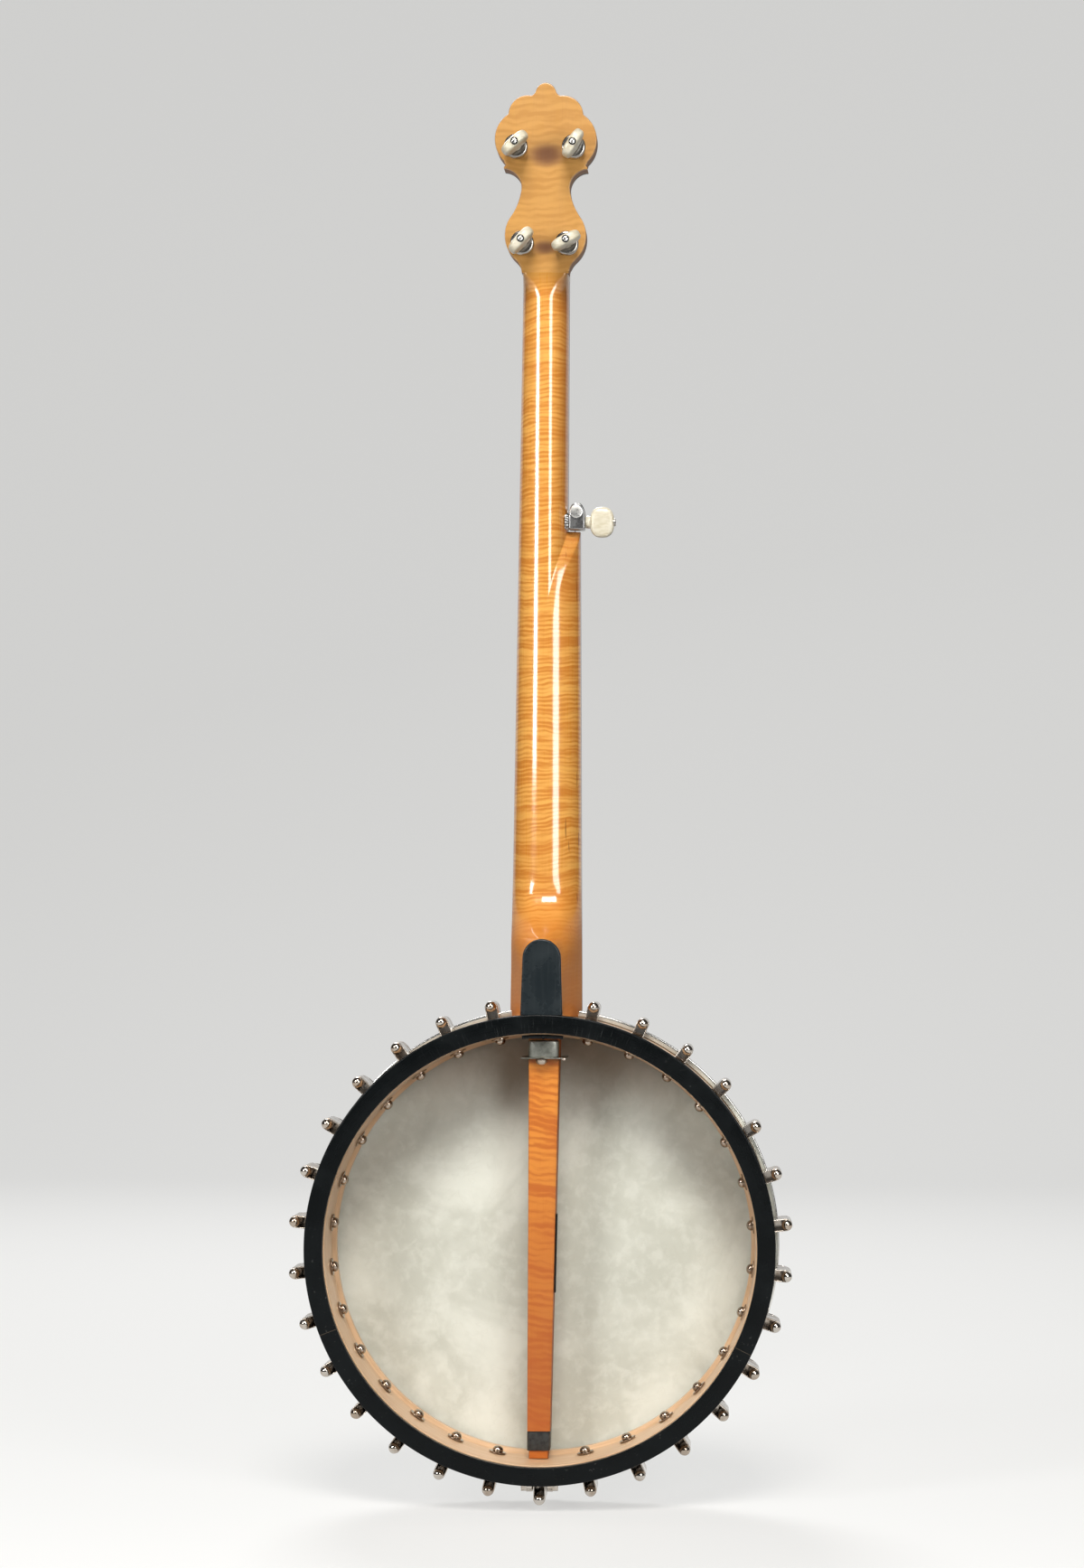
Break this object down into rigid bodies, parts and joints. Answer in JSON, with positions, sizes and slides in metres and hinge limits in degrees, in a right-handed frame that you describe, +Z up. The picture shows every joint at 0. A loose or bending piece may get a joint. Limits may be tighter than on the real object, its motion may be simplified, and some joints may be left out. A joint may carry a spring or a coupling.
{
  "type": "open-back banjo",
  "caption": "Banjo with an open-backed wooden pot, a skin head held by a hoop and tension hooks, a long neck with a side peg, and geared tuning pegs.",
  "frame": {"origin": "on the neck's centre plane, halfway through the peghead's wood and 12 mm above the nut, where the yoke of a wall hanger holds it", "axes": "+Z up the neck to the peghead, -Y out of the instrument's open back, +X to the side that carries the fifth peg"},
  "size_m": [0.3274, 0.0802, 0.9264],
  "materials": {
    "neck_maple": "flamed maple, amber stain, high gloss",
    "rim_maple": "bent maple, amber lacquer, satin gloss",
    "dowel_maple": "flamed maple, orange stain, satin gloss",
    "ebony": "black, oiled",
    "bone": "bone, polished",
    "brass": "turned",
    "skin": "mottled cream skin, matt",
    "nickel": "nickel plate, polished",
    "pewter": "dull grey plated casting",
    "bridge_maple": "plain maple, unfinished",
    "ivoroid": "grained cream, polished"
  },
  "bodies": {
    "root": {"neck": "neck_maple", "heel_cap": "ebony", "fingerboard": "ebony", "string_nut": "bone", "fifth_string_pip": "bone", "peghead_overlay": "ebony", "rim": "rim_maple", "rim_cap": "ebony", "tone_ring": "brass", "drum_head": "skin", "tension_hoop": "nickel", "dowel_stick": "dowel_maple", "dowel_ferrule": "pewter", "neck_brace": "pewter", "tailpiece": "nickel", "bridge": "bridge_maple", "bracket_01": "nickel", "bracket_02": "nickel", "bracket_03": "nickel", "bracket_04": "nickel", "bracket_05": "nickel", "bracket_06": "nickel", "bracket_07": "nickel", "bracket_08": "nickel", "bracket_09": "nickel", "bracket_10": "nickel", "bracket_11": "nickel", "bracket_12": "nickel", "bracket_13": "nickel", "bracket_14": "nickel", "bracket_15": "nickel", "bracket_16": "nickel", "bracket_17": "nickel", "bracket_18": "nickel", "bracket_19": "nickel", "bracket_20": "nickel", "bracket_21": "nickel", "bracket_22": "nickel", "bracket_23": "nickel", "bracket_24": "nickel", "bracket_25": "nickel", "bracket_26": "nickel", "bracket_27": "nickel", "bracket_28": "nickel", "bracket_29": "nickel", "upper_left_peg_body": "nickel", "upper_right_peg_body": "nickel", "lower_left_peg_body": "nickel", "lower_right_peg_body": "nickel", "fifth_peg_body": "nickel"},
    "upper_left_peg_post": {"upper_left_peg_post": "nickel"},
    "upper_left_peg_button": {"upper_left_peg_button": "ivoroid"},
    "upper_right_peg_post": {"upper_right_peg_post": "nickel"},
    "upper_right_peg_button": {"upper_right_peg_button": "ivoroid"},
    "lower_left_peg_post": {"lower_left_peg_post": "nickel"},
    "lower_left_peg_button": {"lower_left_peg_button": "ivoroid"},
    "lower_right_peg_post": {"lower_right_peg_post": "nickel"},
    "lower_right_peg_button": {"lower_right_peg_button": "ivoroid"},
    "fifth_peg_post": {"fifth_peg_post": "nickel"},
    "fifth_peg_button": {"fifth_peg_button": "ivoroid"}
  },
  "joints": [
    {"name": "upper_left_peg_button_turn", "type": "hinge", "parent": "root", "child": "upper_left_peg_button", "pos_m": [-0.0187, 0.00455, 0.07074], "axis": [0, 0.9986, 0.0523], "continuous": true},
    {"name": "upper_left_peg_post_turn", "type": "hinge", "parent": "root", "child": "upper_left_peg_post", "pos_m": [-0.0187, 0.00455, 0.07074], "axis": [0, 0.9986, 0.0523], "continuous": true},
    {"name": "upper_right_peg_button_turn", "type": "hinge", "parent": "root", "child": "upper_right_peg_button", "pos_m": [0.0187, 0.00455, 0.07074], "axis": [0, 0.9986, 0.0523], "continuous": true},
    {"name": "upper_right_peg_post_turn", "type": "hinge", "parent": "root", "child": "upper_right_peg_post", "pos_m": [0.0187, 0.00455, 0.07074], "axis": [0, 0.9986, 0.0523], "continuous": true},
    {"name": "lower_left_peg_button_turn", "type": "hinge", "parent": "root", "child": "lower_left_peg_button", "pos_m": [-0.0145, 0.00779, 0.00892], "axis": [0, 0.9986, 0.0523], "continuous": true},
    {"name": "lower_left_peg_post_turn", "type": "hinge", "parent": "root", "child": "lower_left_peg_post", "pos_m": [-0.0145, 0.00779, 0.00892], "axis": [0, 0.9986, 0.0523], "continuous": true},
    {"name": "lower_right_peg_button_turn", "type": "hinge", "parent": "root", "child": "lower_right_peg_button", "pos_m": [0.0145, 0.00779, 0.00892], "axis": [0, 0.9986, 0.0523], "continuous": true},
    {"name": "lower_right_peg_post_turn", "type": "hinge", "parent": "root", "child": "lower_right_peg_post", "pos_m": [0.0145, 0.00779, 0.00892], "axis": [0, 0.9986, 0.0523], "continuous": true},
    {"name": "fifth_peg_button_turn", "type": "hinge", "parent": "root", "child": "fifth_peg_button", "pos_m": [0.0023, 0.00633, -0.17006], "axis": [1, 0, 0], "continuous": true},
    {"name": "fifth_peg_post_turn", "type": "hinge", "parent": "root", "child": "fifth_peg_post", "pos_m": [0.0208, 0.00622, -0.16376], "axis": [0, 0.9998, 0.0175], "continuous": true}
  ],
  "couplings": [
    {"joint": "upper_left_peg_post_turn", "follows": "upper_left_peg_button_turn", "ratio": 0.25},
    {"joint": "upper_right_peg_post_turn", "follows": "upper_right_peg_button_turn", "ratio": 0.25},
    {"joint": "lower_left_peg_post_turn", "follows": "lower_left_peg_button_turn", "ratio": 0.25},
    {"joint": "lower_right_peg_post_turn", "follows": "lower_right_peg_button_turn", "ratio": 0.25},
    {"joint": "fifth_peg_post_turn", "follows": "fifth_peg_button_turn", "ratio": 0.071429}
  ]
}
